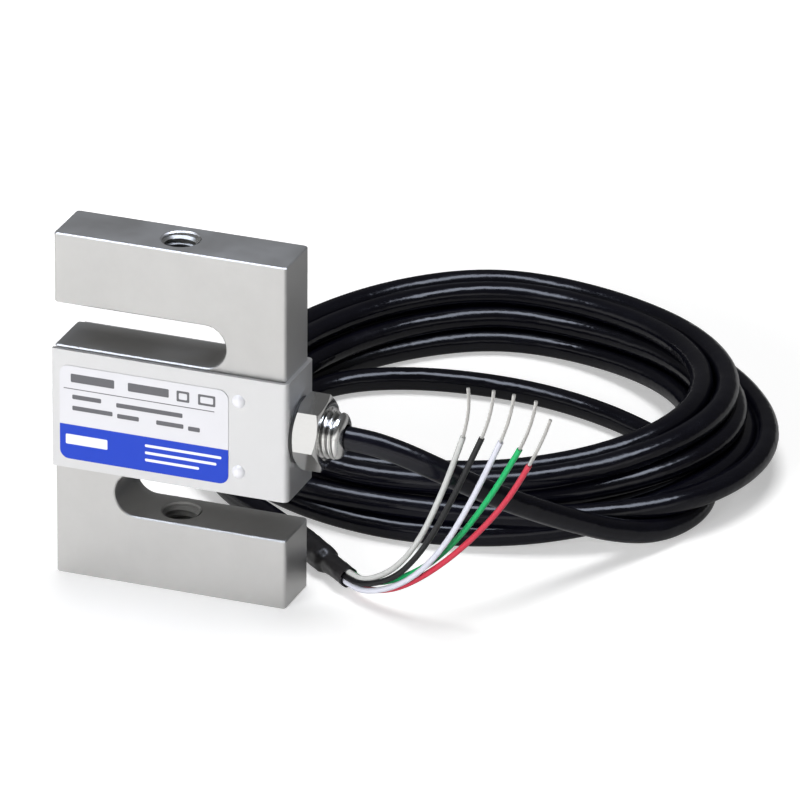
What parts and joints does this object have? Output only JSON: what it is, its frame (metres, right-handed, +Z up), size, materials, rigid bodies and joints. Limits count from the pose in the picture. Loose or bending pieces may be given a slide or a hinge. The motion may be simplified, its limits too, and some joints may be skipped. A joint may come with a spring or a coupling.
{
  "type": "s type load cell",
  "caption": "Slim S-shaped steel load cell with two side slots, threaded load holes, a bent sheet cover with a data plate, a cable gland and a loosely coiled black cable.",
  "frame": {"origin": "where the load axis meets the bottom face, at the lower load hole's mouth", "axes": "+Z up along the load axis from the lower to the upper load hole, +X towards the cable gland, the data plate faces -Y"},
  "size_m": [0.1209, 0.1564, 0.0762],
  "materials": {
    "plated_steel": "satin nickel plate over ground steel",
    "cover_sheet": "satin stainless sheet",
    "rivet_metal": "satin",
    "data_plate": "satin silver-white foil with a blue band",
    "gasket_rubber": "matt",
    "sealant": "soft satin",
    "gland_metal": "bright nickel plate",
    "washer_rubber": "matt",
    "seal_rubber": "matt",
    "gauge_foil": "amber carrier foil",
    "board": "green lacquer",
    "resistor": "blue lacquer",
    "potting": "soft clear-grey gel",
    "cable_jacket": "gloss black PVC",
    "sleeve": "satin black shrink tube",
    "inner_core": "satin",
    "core_clear": "clear sleeve over bare strands",
    "core_black": "gloss",
    "core_white": "gloss",
    "core_green": "gloss",
    "core_red": "gloss",
    "tinned_copper": "tinned strands"
  },
  "bodies": {
    "root": {"sensing_element": "plated_steel", "cover": "cover_sheet", "cover_rivets": "rivet_metal", "data_plate": "data_plate", "cover_gasket": "gasket_rubber", "edge_sealant": "sealant", "gland_stem": "gland_metal", "gland_nut": "gland_metal", "gland_washer": "washer_rubber", "gland_seal": "seal_rubber", "gauge_front_left": "gauge_foil", "gauge_front_right": "gauge_foil", "gauge_back_left": "gauge_foil", "gauge_back_right": "gauge_foil", "terminal_board": "board", "zero_resistor": "resistor", "span_resistor": "resistor", "inner_cores": "inner_core", "potting_front": "potting", "potting_back": "potting", "cable_coil": "cable_jacket", "cable_lead": "cable_jacket", "cable_crossing": "cable_jacket", "cable_tail": "cable_jacket", "shrink_sleeve": "sleeve", "core_drain": "core_clear", "conductor_drain": "tinned_copper", "core_black": "core_black", "conductor_black": "tinned_copper", "core_white": "core_white", "conductor_white": "tinned_copper", "core_green": "core_green", "conductor_green": "tinned_copper", "core_red": "core_red", "conductor_red": "tinned_copper"}
  },
  "joints": []
}
